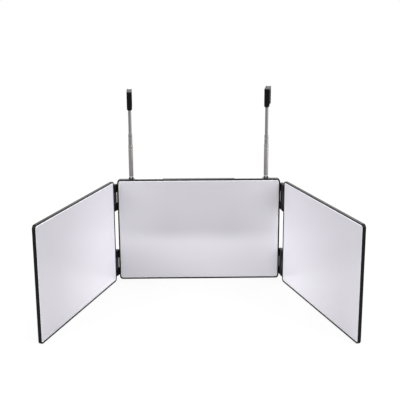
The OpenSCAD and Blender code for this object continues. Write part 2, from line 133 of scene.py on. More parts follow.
def rounded(corners, radii, steps=6):
    """Outline of a polygon whose corners are replaced by arcs: each arc is the quadratic curve
    between the two points at its radius from the corner, with the corner as its middle point."""
    corners = np.asarray(corners, float)
    radii = np.broadcast_to(np.asarray(radii, float), len(corners))[:, None, None]
    before = np.roll(corners, 1, 0) - corners
    after = np.roll(corners, -1, 0) - corners
    before /= np.linalg.norm(before, axis=1)[:, None]
    after /= np.linalg.norm(after, axis=1)[:, None]
    t = np.linspace(0, 1, steps)[None, :, None]
    p0 = corners[:, None] + before[:, None] * radii
    p2 = corners[:, None] + after[:, None] * radii
    blend = 2 ** -0.5
    weight = (1 - t) ** 2 + 2 * blend * t * (1 - t) + t ** 2
    curve = ((1 - t) ** 2 * p0 + 2 * blend * t * (1 - t) * corners[:, None] + t ** 2 * p2) / weight
    return curve.reshape(-1, 2)


def inset(outline, depth):
    """Outline moved inwards by depth: each point goes along the sum of its two edge normals,
    divided by one plus their product, so that both edges move by the same amount.
    An array of depths gives an array of outlines."""
    edge = np.roll(outline, -1, 0) - outline
    edge /= np.linalg.norm(edge, axis=1)[:, None]
    normal = np.stack([edge[:, 1], -edge[:, 0]], -1)
    area = np.sum(outline[:, 0] * np.roll(outline[:, 1], -1) - np.roll(outline[:, 0], -1) * outline[:, 1])
    normal *= -np.sign(area)
    last = np.roll(normal, 1, 0)
    return outline + depth * (normal + last) / (1 + np.sum(normal * last, 1))[:, None]


def prism(outline, low, high, edge, plane="xy", steps=3):
    """Outline in the xy or xz plane, carried from low to high across it, with both end edges rounded by edge:
    at angle t the ring is inset by edge (1 - sin t) at a height of edge (1 - cos t)."""
    t = np.linspace(0, math.pi / 2, steps + 1)
    insets = edge * (1 - np.sin(t))
    heights = edge * (1 - np.cos(t))
    depth = np.concatenate([insets, insets[::-1]])
    height = np.concatenate([low + heights, (high - heights)[::-1]])
    flat = inset(outline, depth[:, None, None])
    u, v, level = flat[..., 0], flat[..., 1], np.broadcast_to(height[:, None], flat.shape[:2])
    return loft(np.stack((u, v, level) if plane == "xy" else (u, level, v), -1))


def lathe(profile, centre=(0, 0, 0), axis="z", sides=48, hollow=False):
    """Profile of (radius, height) points turned about the z or y axis: point = centre + radius (cos, sin) + height.
    A hollow profile closes on itself."""
    profile = np.asarray(profile, float)
    t = np.linspace(0, 2 * math.pi, sides, endpoint=False)
    radius, height = profile[:, 0:1], np.repeat(profile[:, 1:2], sides, 1)
    u, v = radius * np.cos(t), radius * np.sin(t)
    rings = np.stack((u, v, height) if axis == "z" else (u, height, v), -1)
    return loft(rings + np.asarray(centre, float), wrap=hollow)


def turned(part, sign, origin=(0, 0), angle=0.0):
    """Part drawn as on the right, turned forwards by angle about a vertical axis at origin,
    and mirrored on the left."""
    verts, quads, caps = part
    c, s = math.cos(angle), math.sin(angle)
    x = sign * (origin[0] + verts[:, 0] * c + verts[:, 1] * s)
    y = origin[1] - verts[:, 0] * s + verts[:, 1] * c
    return outward(np.stack([x, y, verts[:, 2]], -1), quads, caps)


def moved(part, offset):
    """Part moved by offset."""
    return part[0] + np.asarray(offset, float), part[1], part[2]


def new_object(name, data):
    """Object with its data, linked to the scene."""
    made = bpy.data.objects.new(name, data)
    bpy.context.scene.collection.objects.link(made)
    return made


def add_piece(name, parts, material, body, node, smooth=32, edge=None):
    """Mesh object of the parts, riding on a body and standing for a CAD node, sharp where faces meet at more than
    smooth degrees. With edge, a material and a range of faces, those faces have that material."""
    starts = np.cumsum([0] + [len(p[0]) for p in parts])
    verts = np.concatenate([p[0] for p in parts]) * MM
    faces = []
    for start, (_, quads, caps) in zip(starts, parts):
        faces += (quads + start).tolist()
        faces += [(cap + start).tolist() for cap in caps]
    mesh = bpy.data.meshes.new(name)
    mesh.from_pydata(verts.tolist(), [], faces)
    mesh.polygons.foreach_set("use_smooth", np.ones(len(mesh.polygons), bool))
    mesh.set_sharp_from_angle(angle=math.radians(smooth))
    mesh.materials.append(material)
    if edge:
        mesh.materials.append(edge[0])
        chosen = np.zeros(len(mesh.polygons), np.int32)
        chosen[edge[1]] = 1
        mesh.polygons.foreach_set("material_index", chosen)
    mesh.update()
    piece = new_object(name, mesh)
    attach(piece, body)
    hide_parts(node)


# Points of a CAD node nearer than this, in metres, are one; flatter joins are dissolved and sharper ones rounded
SAME_POINT = 1e-6
FLAT_ANGLE, EDGE_ANGLE = math.radians(0.5), math.radians(40)


def dress(node, material, edge=0.0):
    """CAD node kept as it is, with a finished material and, with edge, its corners rounded by modifiers."""
    piece = frame["nodes"][node]
    piece.data.materials.clear()
    piece.data.materials.append(material)
    if edge:
        weld = piece.modifiers.new("weld", "WELD")
        weld.merge_threshold = SAME_POINT
        flat = piece.modifiers.new("flat", "DECIMATE")
        flat.decimate_type = "DISSOLVE"
        flat.angle_limit = FLAT_ANGLE
        bevel = piece.modifiers.new("edges", "BEVEL")
        bevel.width = edge * MM
        bevel.segments = 2
        bevel.limit_method = "ANGLE"
        bevel.angle_limit = EDGE_ANGLE
        bevel.use_clamp_overlap = True
        bevel.harden_normals = True


# Materials

def feed(tree, node, values):
    """The node, with numbers, colours or other nodes' sockets put into its inputs."""
    for label, value in values.items():
        if isinstance(value, bpy.types.NodeSocket):
            tree.links.new(value, node.inputs[label])
        else:
            node.inputs[label].default_value = value
    return node


def new_node(tree, kind, values=None, **settings):
    """Node of a kind with its settings, and its inputs fed with values."""
    node = tree.nodes.new(kind)
    for name, setting in settings.items():
        setattr(node, name, setting)
    return feed(tree, node, values or {})


def math_node(tree, kind, a, b):
    """Result of a kind of sum on two sockets or numbers."""
    return new_node(tree, "ShaderNodeMath", {0: a, 1: b}, operation=kind).outputs[0]


def arithmetic(tree):
    """Functions that add, subtract and multiply sockets or numbers in a tree, and one for a value's size."""
    kinds = ("ADD", "SUBTRACT", "MULTIPLY", "ABSOLUTE")
    return [lambda a, b=0.0, kind=kind: math_node(tree, kind, a, b) for kind in kinds]


def noise_node(tree, vector, scale, detail=3.0, rough=0.5):
    """Noise on a vector; scale is a socket or a number."""
    values = {"Vector": vector, "Scale": scale, "Detail": detail, "Roughness": rough}
    return new_node(tree, "ShaderNodeTexNoise", values).outputs[0]


def ramp(tree, value, low, high, out_low, out_high, kind="SMOOTHSTEP"):
    """Smooth or linear step between two outputs, as a value in metres goes from low to high."""
    values = {"Value": value, "From Min": low, "From Max": high, "To Min": out_low, "To Max": out_high}
    return new_node(tree, "ShaderNodeMapRange", values, interpolation_type=kind).outputs["Result"]


def coordinates(tree, where):
    """The x, y and z of a vector, in metres."""
    return new_node(tree, "ShaderNodeSeparateXYZ", {0: where}).outputs


def new_group(name, inputs, outputs):
    """Shader node group, its sources and its sink: a vector and float inputs with defaults, and float outputs."""
    group = bpy.data.node_groups.new(name, "ShaderNodeTree")
    group.interface.new_socket("Vector", in_out="INPUT", socket_type="NodeSocketVector")
    for label, value in inputs.items():
        group.interface.new_socket(label, in_out="INPUT", socket_type="NodeSocketFloat").default_value = value
    for label in outputs:
        group.interface.new_socket(label, in_out="OUTPUT", socket_type="NodeSocketFloat")
    source = group.nodes.new("NodeGroupInput")
    return group, [source.outputs[label] for label in ("Vector", *inputs)], group.nodes.new("NodeGroupOutput")


def grain_group(name):
    """Fine moulded or sprayed grain: two sizes of noise, as a height and a shade round one."""
    group, (where, scale, shade), sink = new_group(name, {"Scale": 900.0, "Shade": 0.1}, ["Height", "Tint"])
    add, less, times, _ = arithmetic(group)
    fine = noise_node(group, where, scale, 4.0, 0.6)
    wide = noise_node(group, where, times(scale, 0.07), 2.0)
    feed(group, sink, {"Height": add(fine, times(wide, 0.6)), "Tint": add(times(less(wide, 0.5), shade), 1.0)})
    return group


def marks_group(name):
    """Soft marks of handling: wide noise raised to a power, as an amount added to the roughness."""
    group, (where, scale, amount), sink = new_group(name, {"Scale": 30.0, "Amount": 0.06}, ["Rough"])
    mask = math_node(group, "POWER", noise_node(group, where, scale, 5.0, 0.62), 2.0)
    feed(group, sink, {"Rough": math_node(group, "MULTIPLY", mask, amount)})
    return group


def lines_group(name):
    """Drawn or brushed metal: noise on a vector squeezed along the drawing direction, as a height."""
    group, (where, scale, along), sink = new_group(name, {"Scale": 700.0, "Along": 0.03}, ["Height"])
    squeeze = new_node(group, "ShaderNodeCombineXYZ", {0: 1.0, 1: 1.0, 2: along}).outputs[0]
    drawn = new_node(group, "ShaderNodeVectorMath", {0: where, 1: squeeze}, operation="MULTIPLY").outputs[0]
    feed(group, sink, {"Height": noise_node(group, drawn, scale, 3.0, 0.6)})
    return group


MAKERS = {"fine_grain": grain_group, "handling_marks": marks_group, "drawn_lines": lines_group}


def use_group(tree, name, vector, **values):
    """Outputs of a group in a material, with its own values. The group is made at its first use."""
    group = bpy.data.node_groups.get(name) or MAKERS[name](name)
    return new_node(tree, "ShaderNodeGroup", {"Vector": vector, **values}, node_tree=group).outputs


def centre_painted_reflection(tree, where):
    """Painted reflection and shade on the centre pane: darker above a soft, slightly wavy painted horizon at 81 mm,
    most in the middle, with painted shade in the lower left corner, and a little lighter halfway up its two ends."""
    x, _, z = coordinates(tree, where)
    add, less, times, size_of = arithmetic(tree)
    aside, level = size_of(x), size_of(less(z, 0.1))
    # Painted horizon of a reflection, made wavy by noise; the corner term below is painted shade
    wave = times(less(noise_node(tree, where, 7.0, 1.0), 0.5), 0.016)
    upper = ramp(tree, add(z, wave), 0.064, 0.098, 0.0, 1.0)
    depth = ramp(tree, aside, 0.04, 0.14, 0.27, 0.18)
    corner = ramp(tree, add(times(x, 0.5), z), -0.07, 0.035, 0.86, 1.0)
    ends = times(ramp(tree, level, 0.0, 0.06, 0.08, -0.01), ramp(tree, aside, 0.05, 0.14, 0.0, 1.0))
    return times(add(less(1.0, times(upper, depth)), ends), corner)


def wing_painted_reflection(base, rise):
    """Painted reflection on a wing pane: base at its far edge, with a painted brightening that is greatest low
    beside its hinges.
    """
    def painted_reflection_of(tree, where):
        _, y, z = coordinates(tree, where)
        add, _, times, _ = arithmetic(tree)
        # Painted brightening near the hinges and low down, where the pane would reflect the bright floor
        near = ramp(tree, y, -0.28, 0.0, 0.0, 1.0)
        low = ramp(tree, z, 0.04, 0.24, 0.96, 0.37)
        return add(times(times(near, low), rise), base)
    return painted_reflection_of


# Height of a bump of one, in metres
BUMP_DEPTH = 0.0002


def finish_material(name, color, rough, metallic=0.0, grain=(900.0, 0.02), shade=0.1,
                    marks=(30.0, 0.08), lines=None, specular=0.5, painted_reflection_of=None):
    """Principled surface whose colour, roughness and bump vary with grain, handling marks and drawn lines, and
    whose colour may also carry a painted reflection and shade.
    grain is (scale, bump strength), marks (scale, amount), and lines (scale, squeeze along the rod, height)."""
    material = bpy.data.materials.new(name)
    material.use_nodes = True
    tree = material.node_tree
    add, _, times, _ = arithmetic(tree)
    where = new_node(tree, "ShaderNodeTexCoord").outputs["Object"]
    grains = use_group(tree, "fine_grain", where, Scale=grain[0], Shade=shade)
    smears = use_group(tree, "handling_marks", where, Scale=marks[0], Amount=marks[1])
    grain_and_painted_reflection, height = grains["Tint"], grains["Height"]
    # A painted reflection and shade, where given, is multiplied into the grain's tint
    if painted_reflection_of:
        grain_and_painted_reflection = times(grain_and_painted_reflection, painted_reflection_of(tree, where))
    if lines:
        drawn = use_group(tree, "drawn_lines", where, Scale=lines[0], Along=lines[1])
        height = add(height, times(drawn["Height"], lines[2]))
    tint = new_node(tree, "ShaderNodeMix", {"Factor": 1.0, "A": (*color, 1.0), "B": grain_and_painted_reflection},
                    data_type="RGBA", blend_type="MULTIPLY")
    bump = new_node(tree, "ShaderNodeBump", {"Strength": grain[1], "Distance": BUMP_DEPTH, "Height": height})
    feed(tree, tree.nodes["Principled BSDF"],
         {"Base Color": tint.outputs["Result"], "Metallic": metallic, "Specular IOR Level": specular,
          "Roughness": add(smears["Rough"], rough), "Normal": bump.outputs["Normal"]})
    return material


# Sizes and colours that a user would change

def size(name, text, default):
    """Length as a property, given here in millimetres."""
    return FloatProperty(name=name, description=text, default=default * MM, min=0.0, precision=5, unit="LENGTH")


def in_mm(settings):
    """Settings with their lengths in millimetres."""
    values = {}
    for name in type(settings).__annotations__:
        value = getattr(settings, name)
        values[name] = value / MM if settings.bl_rna.properties[name].unit == "LENGTH" else value
    return SimpleNamespace(**values)


def tone(name, what, default):
    """Colour property of what is named."""
    return FloatVectorProperty(name=name, description="Colour of the " + what, default=default, subtype="COLOR",
                               min=0.0, max=1.0)


class PanelSettings(bpy.types.PropertyGroup):
    corner_r: size("Corner radius", "Radius of a panel's corners", 6.0)
    rim_w: size("Rim width", "Width of the black rim round the glass", 2.3)
    floor_t: size("Floor thickness", "Thickness of the tray floor", 2.5)
    glass_gap: size("Glass gap", "Gap between glass and rim", 0.15)
    arris: size("Arris", "Width of the ground edge of the glass", 1.2)
    tray_color: tone("Tray", "black trays", (0.005, 0.005, 0.0055))
    cover_color: tone("Covers", "covers on the back", (0.022, 0.022, 0.024))
    arris_color: tone("Ground edge", "ground edge of the glass", (0.93, 0.93, 0.95))
    screw_color: tone("Screws", "cover and socket screws", (0.3, 0.305, 0.31))
    tape_color: tone("Tape", "foam tape behind the glass", (0.7, 0.69, 0.66))
    glass_color: tone("Mirror", "silvered glass", (0.66, 0.645, 0.69))


class HingeSettings(bpy.types.PropertyGroup):
    height: size("Hinge height", "Height of one hinge", 48.0)
    middle: size("Middle knuckle", "Height of the middle knuckle", 19.0)
    knuckle_r: size("Knuckle radius", "Radius of the knuckles", 3.0)
    gap: size("Edge gap", "Gap between a knuckle and the panel edge", 0.2)
    leaf_t: size("Leaf thickness", "Thickness of a hinge leaf", 1.0)
    leaf_reach: size("Leaf reach", "How far a leaf reaches over the panel", 12.0)
    leaf_h: size("Leaf height", "Height of a leaf", 42.0)
    rivet_pitch: size("Rivet pitch", "Distance between the rivets of a leaf", 30.0)
    link_color: tone("Links", "links", (0.003, 0.003, 0.0033))
    centre_color: tone("Centre halves", "hinge halves on the centre panel", (0.36, 0.364, 0.374))
    # The wing halves are the same parts as the centre halves, made near-black as painted shade
    wing_painted_shade_color: tone("Wing halves", "hinge halves on the wings", (0.018, 0.018, 0.019))
    pin_color: tone("Pins", "hinge pins and rivets", (0.4, 0.405, 0.41))


class RodSettings(bpy.types.PropertyGroup):
    outer_d: size("Lower tube", "Diameter of the lower tube", 7.9)
    middle_d: size("Middle tube", "Diameter of the middle tube", 7.0)
    inner_d: size("Upper rod", "Diameter of the upper rod", 5.6)
    steel_color: tone("Lower steel", "lower tube's drawn steel", (0.25, 0.239, 0.237))
    # The sliding sections are a darker copy of the lower tube's steel: painted shade for their darker reflection
    inner_painted_shade_color: tone("Inner steel", "steel of the sections that slide in it", (0.203, 0.195, 0.194))
    crimp_drop: size("Crimp drop", "Distance of the crimped ring from the top of a tube", 6.5)
    crimp_depth: size("Crimp depth", "Depth of the crimped ring", 0.22)
    knuckle_color: tone("Knuckle", "knuckle at the foot of a rod and of its pin", (0.5, 0.5, 0.505))
    sleeve_color: tone("Sleeves", "friction sleeves", (0.6, 0.46, 0.22))
    socket_color: tone("Sockets", "rod sockets", (0.016, 0.016, 0.017))


class HookSettings(bpy.types.PropertyGroup):
    width: size("Width", "Width of a hook", 9.1)
    height: size("Height", "Height of a hook", 32.3)
    throat: size("Throat", "Clear depth between the legs", 38.0)
    front_leg: size("Front leg", "Thickness of the front leg", 8.0)
    rear_leg: size("Rear leg", "Thickness of the rear leg", 4.0)
    bridge: size("Bridge", "Thickness of the bridge", 5.0)
    rear_drop: size("Rear drop", "How much lower the rear leg reaches", 1.0)
    corner_r: size("Corner radius", "Radius of the outer corners, seen from the side", 3.0)
    end_r: size("End radius", "Radius of the ends of the legs, seen from the front", 3.2)
    fillet: size("Inner fillet", "Radius of the corners inside the throat", 1.0)
    channel_w: size("Channel width", "Width of the channel along the outside", 4.0)
    channel_depth: size("Channel depth", "Depth of the channel along the outside", 0.6)
    pad_t: size("Pad thickness", "Thickness of the pads in the throat", 1.0)
    hook_color: tone("Hooks", "hooks", (0.002, 0.002, 0.0022))
    pad_color: tone("Pads", "pads", (0.009, 0.009, 0.0095))
    screw_color: tone("Screws", "hooks' screws", (0.4, 0.405, 0.41))


class StageSettings(bpy.types.PropertyGroup):
    floor_color: tone("Floor", "floor", (0.9, 0.9, 0.9))
    floor_white: FloatProperty(name="Floor white", default=0.8, min=0.0, max=1.0, subtype="FACTOR",
                               description="Share of plain white that the camera sees in the floor near the object")
    world_light: FloatProperty(name="World light", description="Strength of the even studio light", default=0.7,
                               min=0.0, soft_max=2.0, subtype="FACTOR")
    key_power: FloatProperty(name="Key light", description="Power of the soft key light", default=32.0,
                             unit="POWER")


class TRIFOLD_OT_stage(bpy.types.Operator):
    """Floor, studio light and camera"""

    bl_idname = "trifold.stage"
    bl_label = "Stage"

    def execute(self, context):
        s = in_mm(context.scene.trifold_stage)
        make_floor(s)
        make_lights(s)
        make_camera()
        return {"FINISHED"}


def camera_sees(tree, base, white, share):
    """Mix of a surface with plain white, by share, for camera, glossy and transmission rays alone."""
    path = new_node(tree, "ShaderNodeLightPath").outputs
    seen = math_node(tree, "MAXIMUM", path["Is Camera Ray"], path["Is Glossy Ray"])
    seen = math_node(tree, "MAXIMUM", seen, path["Is Transmission Ray"])
    mixed = {0: math_node(tree, "MULTIPLY", seen, share), 1: base, 2: white}
    return new_node(tree, "ShaderNodeMixShader", mixed).outputs[0]


def make_floor(s):
    """Flat square floor, a grid of two by two points, whiter to the camera further out."""
    reach, pale_from, pale_to = 30.0, 0.3, 1.1
    grid = np.array([[-reach, -reach, 0], [reach, -reach, 0], [reach, reach, 0], [-reach, reach, 0]])
    mesh = bpy.data.meshes.new("floor")
    mesh.from_pydata(grid.tolist(), [], [[0, 1, 2, 3]])
    floor = new_object("floor", mesh)
    material = bpy.data.materials.new("pale_floor")
    material.use_nodes = True
    tree = material.node_tree
    tree.nodes.remove(tree.nodes["Principled BSDF"])
    matt = new_node(tree, "ShaderNodeBsdfDiffuse", {"Color": (*s.floor_color, 1.0)})
    glow = new_node(tree, "ShaderNodeEmission")
    where = new_node(tree, "ShaderNodeTexCoord").outputs["Object"]
    length = new_node(tree, "ShaderNodeVectorMath", {0: where}, operation="LENGTH").outputs["Value"]
    away = ramp(tree, length, pale_from, pale_to, s.floor_white, 1.0, "LINEAR")
    out = camera_sees(tree, matt.outputs[0], glow.outputs[0], away)
    feed(tree, tree.nodes["Material Output"], {"Surface": out})
    mesh.materials.append(material)


# Lamps: name, place and width in metres, and share of the key light's power
LAMPS = (("strip_box", (0.8, -0.3, 0.26), 0.5, 0.05), ("left_box", (-1.6, -0.9, 1.5), 1.4, 1.0),
         ("right_box", (1.6, -0.9, 1.5), 1.4, 1.0), ("back_box", (0.2, 1.8, 1.6), 1.6, 0.6))
LAMP_TARGET = Vector((0, -0.05, 0.15))


def make_lights(s):
    """Even world light, seen as white, and four soft square lamps."""
    world = bpy.data.worlds.new("studio")
    bpy.context.scene.world = world
    world.use_nodes = True
    tree = world.node_tree
    even, white = tree.nodes["Background"], new_node(tree, "ShaderNodeBackground")
    for source, strength in ((even, s.world_light), (white, 1.0)):
        feed(tree, source, {"Color": (1.0, 1.0, 1.0, 1.0), "Strength": strength})
    out = camera_sees(tree, even.outputs[0], white.outputs[0], 1.0)
    feed(tree, tree.nodes["World Output"], {"Surface": out})
    for name, place, wide, share in LAMPS:
        lamp = bpy.data.lights.new(name, "AREA")
        lamp.energy = s.key_power * share
        lamp.size = wide
        lamp_object = new_object(name, lamp)
        lamp_object.location = place
        aim = LAMP_TARGET - lamp_object.location
        lamp_object.rotation_mode = "QUATERNION"
        lamp_object.rotation_quaternion = aim.to_track_quat("-Z", "Y")


def make_camera():
    """Camera at the photograph's place, in metres: yaw, pitch and roll turn the axes right, down and forward."""
    place = (-0.01134, -1.43195, 0.52062)
    yaw, pitch, roll = np.radians([0.54, 14.605, 0.322])
    focal_px, frame_px = 827.44, 400
    forward = np.array([math.sin(yaw) * math.cos(pitch), math.cos(yaw) * math.cos(pitch), -math.sin(pitch)])
    right = np.array([math.cos(yaw), -math.sin(yaw), 0.0])
    down = np.cross(forward, right)
    right, down = (math.cos(roll) * right + math.sin(roll) * down,
                   math.cos(roll) * down - math.sin(roll) * right)
    turn = Matrix(np.stack([right, -down, -forward], 1).tolist()).to_4x4()
    data = bpy.data.cameras.new("camera")
    data.sensor_width = 36.0
    data.lens = focal_px / frame_px * data.sensor_width
    data.clip_start, data.clip_end = 0.05, 50.0
    camera = new_object("camera", data)
    camera.matrix_world = Matrix.Translation(place) @ turn
    bpy.context.scene.camera = camera


# Edges of the trays and panes: (distance from a wall, distance behind the front, the seam or the back), in
# millimetres
RIM_INSIDE = np.array([(0.0, 0.28), (-0.03, 0.14), (-0.12, 0.04), (-0.28, 0.0)])
RIM_OUTSIDE = np.array([(0.5, 0.0), (0.28, 0.04), (0.12, 0.14), (0.03, 0.3), (0.0, 0.5)])
SEAM = np.array([(0.0, -0.14), (0.12, -0.05), (0.12, 0.05), (0.0, 0.14)])
BACK_EDGE = np.array([(0.0, -0.3), (0.06, -0.12), (0.2, 0.0)])
ARRIS_DEPTH = 0.45
# Place of the seam as a share of the floor's thickness, and room round a hinge leaf in its notch
SEAM_SHARE, LEAF_PLAY = 0.9, 0.1


def rim_outline(x0, x1, r, stops_right=(), stops_left=(), steps=12):
    """Rounded rectangle of a panel as arc centres and directions; a ring at inset d is centre + direction (r - d).
    Stops are extra heights at which the outline has a point on its right or left side."""
    right, left = np.sort(stops_right), np.sort(stops_left)[::-1]
    centres = [np.tile((x1 - r, r), (steps, 1)), np.stack([np.full(len(right), x1 - r), right], -1),
               np.tile((x1 - r, PANEL_H - r), (steps, 1)), np.tile((x0 + r, PANEL_H - r), (steps, 1)),
               np.stack([np.full(len(left), x0 + r), left], -1), np.tile((x0 + r, r), (steps, 1))]
    ways = [arc(-90, 0, steps), np.tile((1.0, 0.0), (len(right), 1)), arc(0, 90, steps), arc(90, 180, steps),
            np.tile((-1.0, 0.0), (len(left), 1)), arc(180, 270, steps)]
    return np.concatenate(centres), np.concatenate(ways)


def carried(outline, r, profile):
    """Rings of a panel's outline carried along a profile of (inset, y): centre + direction (r - inset), at y."""
    centre, way = outline
    depth, y = np.asarray(profile, float).T[..., None]
    flat = centre + way * (r - depth)[..., None]
    return np.stack([flat[..., 0], np.broadcast_to(y, flat.shape[:2]), flat[..., 1]], -1)


def hinge_bottoms():
    """Heights of the two hinges of a side, from the links in the frame."""
    return [span("right_lower_link")[0][2], span("right_upper_link")[0][2]]


def tray_part(x0, s, h, left_hinges, right_hinges):
    """Tray of a panel: one ring of its outline carried through the profile of floor, inner wall, rounded rim and
    outer wall, then a back layer whose outline has a notch for each hinge leaf."""
    half = h.leaf_h / 2 + LEAF_PLAY
    stops = [z + h.height / 2 + d for z in hinge_bottoms() for d in (-half, half)]
    outline = rim_outline(x0, x0 + PANEL_W, s.corner_r, stops if right_hinges else (), stops if left_hinges else ())
    way = outline[1]
    floor_y, leaf_y, seam_y = BACK_Y - s.floor_t, BACK_Y - h.leaf_t, BACK_Y - SEAM_SHARE * s.floor_t
    rings = carried(outline, s.corner_r, np.concatenate([
        [(s.rim_w, floor_y)], RIM_INSIDE + (s.rim_w, FRONT_Y), RIM_OUTSIDE + (0, FRONT_Y), SEAM + (0, seam_y),
        [(0, leaf_y)]]))
    count, around = rings.shape[:2]
    edge = rings[-1]
    after = np.roll(edge, -1, 0)
    on_side = np.isclose(np.abs(way[:, 0]), 1) & np.isclose(after[:, 0], edge[:, 0])
    notch = np.flatnonzero(on_side & np.isclose(np.abs(after[:, 2] - edge[:, 2]), 2 * half))
    inner_x = edge[notch, 0] - np.sign(way[notch, 0]) * (h.leaf_reach + LEAF_PLAY)
    inner = np.stack([np.repeat(inner_x, 2), np.stack([edge[notch, 2], after[notch, 2]], 1).ravel()], 1)
    outline = np.insert(edge[:, [0, 2]], np.repeat(notch + 1, 2), inner, axis=0)
    # own: for each point of the notched outline, its point on the rim's last ring, or -1 for an inner corner
    own = np.insert(np.arange(around), np.repeat(notch + 1, 2), -1)
    depth, height = np.array([(0.0, leaf_y), *(BACK_EDGE + (0, BACK_Y))]).T
    flat = inset(outline, depth[:, None, None])
    layer = np.stack([flat[..., 0], np.broadcast_to(height[:, None], flat.shape[:2]), flat[..., 1]], -1)
    index = np.arange(count * around).reshape(count, around)
    fresh = own < 0
    first = np.where(fresh, count * around + np.cumsum(fresh) - 1, index[-1][own])
    start = count * around + fresh.sum()
    back = np.vstack([first, start + np.arange(layer[1:].size // 3).reshape(-1, len(own))])
    at = np.flatnonzero(fresh)[::2]
    floors = np.stack([back[0, at - 1], back[0, (at + 2) % len(own)], back[0, at + 1], back[0, at]], 1)
    verts = np.concatenate([rings.reshape(-1, 3), layer[0][fresh], layer[1:].reshape(-1, 3)])
    return outward(verts, np.concatenate([strips(index), strips(back), floors]), [index[0][::-1], back[-1]])


def pane_part(x0, s):
    """Glass pane: the panel's outline, smaller by the rim and a gap, with a ground edge at the front."""
    gap = s.rim_w + s.glass_gap
    profile = [(gap, TAPE_Y), (gap, GLASS_Y + ARRIS_DEPTH), (gap + s.arris, GLASS_Y)]
    return loft(carried(rim_outline(x0, x0 + PANEL_W, s.corner_r), s.corner_r, profile))


def hinge_poses(side):
    """Place and angle of a link and of a wing, from the limits of their joints: a link is flat open at its lower
    limit, and a wing turns a right angle each way from its link."""
    joints = [side + "_link_hinge", side + "_wing_hinge"]
    link, wing = [-JOINTS[name]["range_deg"][0] for name in joints]
    turns = np.radians([link, link + wing - 90]).tolist()
    return [(joint_xy(name, SIDES[side]), turn) for name, turn in zip(joints, turns)]


class TRIFOLD_OT_trays(bpy.types.Operator):
    """Black trays with rounded rims, notched for the hinge leaves"""

    bl_idname = "trifold.trays"
    bl_label = "Trays"

    def execute(self, context):
        s, h = in_mm(context.scene.trifold_panel), in_mm(context.scene.trifold_hinge)
        black = finish_material("tray_black", s.tray_color, 0.26, grain=(700.0, 0.015), marks=(26.0, 0.1),
                                specular=0.1)
        add_piece("centre_tray_shell", [tray_part(-PANEL_W / 2, s, h, True, True)], black, "centre_panel",
                  "centre_tray")
        near = h.knuckle_r + h.gap
        for side, sign in SIDES.items():
            part = turned(tray_part(near, s, h, True, False), sign, *hinge_poses(side)[1])
            add_piece(side + "_tray_shell", [part], black, side + "_wing", side + "_tray")
        return {"FINISHED"}


class TRIFOLD_OT_panes(bpy.types.Operator):
    """Silvered panes with a ground edge, their colour carrying a painted reflection and shade"""

    bl_idname = "trifold.panes"
    bl_label = "Mirror panes"

    def execute(self, context):
        s, h = in_mm(context.scene.trifold_panel), in_mm(context.scene.trifold_hinge)
        # Pane colours carry painted reflection and shade; the left and right wings are painted differently for how
        # the light falls on them
        mirror_with_painted_reflection = {name: finish_material(name + "_mirror_painted_reflection", s.glass_color, 0.3, metallic=metal, grain=(60.0, 0.0),
                                        shade=0.02, marks=(9.0, 0.05), painted_reflection_of=way)
                  for name, metal, way in (("centre", 0.3, centre_painted_reflection), ("left", 0.24, wing_painted_reflection(0.73, 0.58)),
                                           ("right", 0.24, wing_painted_reflection(0.79, 0.47)))}
        ground = finish_material("ground_edge", s.arris_color, 0.45, grain=(1500.0, 0.1), shade=0.05)
        part = pane_part(-PANEL_W / 2, s)
        around = len(part[1]) // 2
        edge = (ground, slice(around, 2 * around))
        add_piece("centre_pane", [part], mirror_with_painted_reflection["centre"], "centre_panel", "centre_mirror", 20, edge)
        near = h.knuckle_r + h.gap
        for side, sign in SIDES.items():
            part = turned(pane_part(near, s), sign, *hinge_poses(side)[1])
            add_piece(side + "_pane", [part], mirror_with_painted_reflection[side], side + "_wing", side + "_mirror", 20, edge)
        return {"FINISHED"}


class TRIFOLD_OT_covers(bpy.types.Operator):
    """Covers on the back of the centre panel, and what lies behind the glass"""

    bl_idname = "trifold.covers"
    bl_label = "Covers and screws"

    def execute(self, context):
        s = in_mm(context.scene.trifold_panel)
        matt = finish_material("cover_matt", s.cover_color, 0.45, grain=(520.0, 0.12), marks=(20.0, 0.12))
        steel = finish_material("screw_steel", s.screw_color, 0.32, metallic=1.0, grain=(1500.0, 0.05))
        foam = finish_material("foam_tape", s.tape_color, 0.9, grain=(1800.0, 0.4))
        for node in ("middle_cover", "left_side_cover", "right_side_cover"):
            dress(node, matt, 0.6)
        for node in ("cover_screws", "socket_screws"):
            dress(node, steel, 0.12)
        for node in ("centre_tape", "left_tape", "right_tape"):
            dress(node, foam)
        return {"FINISHED"}


# Rivet: (radius, height above the tray's back) from the foot of the shank to the dish, in millimetres
RIVET = np.array([(1.0, -2.0), (1.0, -0.5), (1.9, -0.5), (1.9, -0.14), (1.82, -0.05), (1.66, 0.02), (1.2, 0.04),
                  (0.95, -0.02), (0.8, -0.14), (0.3, -0.16)])
# Hinges, in millimetres: where arm and leaf start inside the barrel, how far the arm stands behind the tray's front
# and off its edge, and how far the leaf's wide part stands off that edge
ARM_START, ARM_BACK, ARM_OFF, LEAF_OFF = 0.6, 0.25, 0.05, 0.15
# Room at each end of the barrel and each side of the web, and how far the web reaches into the knuckle thirds
BARREL_PLAY, WEB_PLAY, WEB_OVERLAP = 0.1, 0.25, 0.5
# Ends of the barrel as (radius, height), corner radii from crisp to wide, and rounding of the long edges
BARREL_END = np.array([(-0.3, 0.0), (-0.09, 0.09), (0.0, 0.3)])
CRISP_R, BEND_R, WEB_R, LEAF_R = 0.1, 0.5, 0.3, 2.0
ARM_EDGE, LEAF_EDGE, LINK_EDGE, WEB_EDGE = 0.2, 0.15, 0.45, 0.05


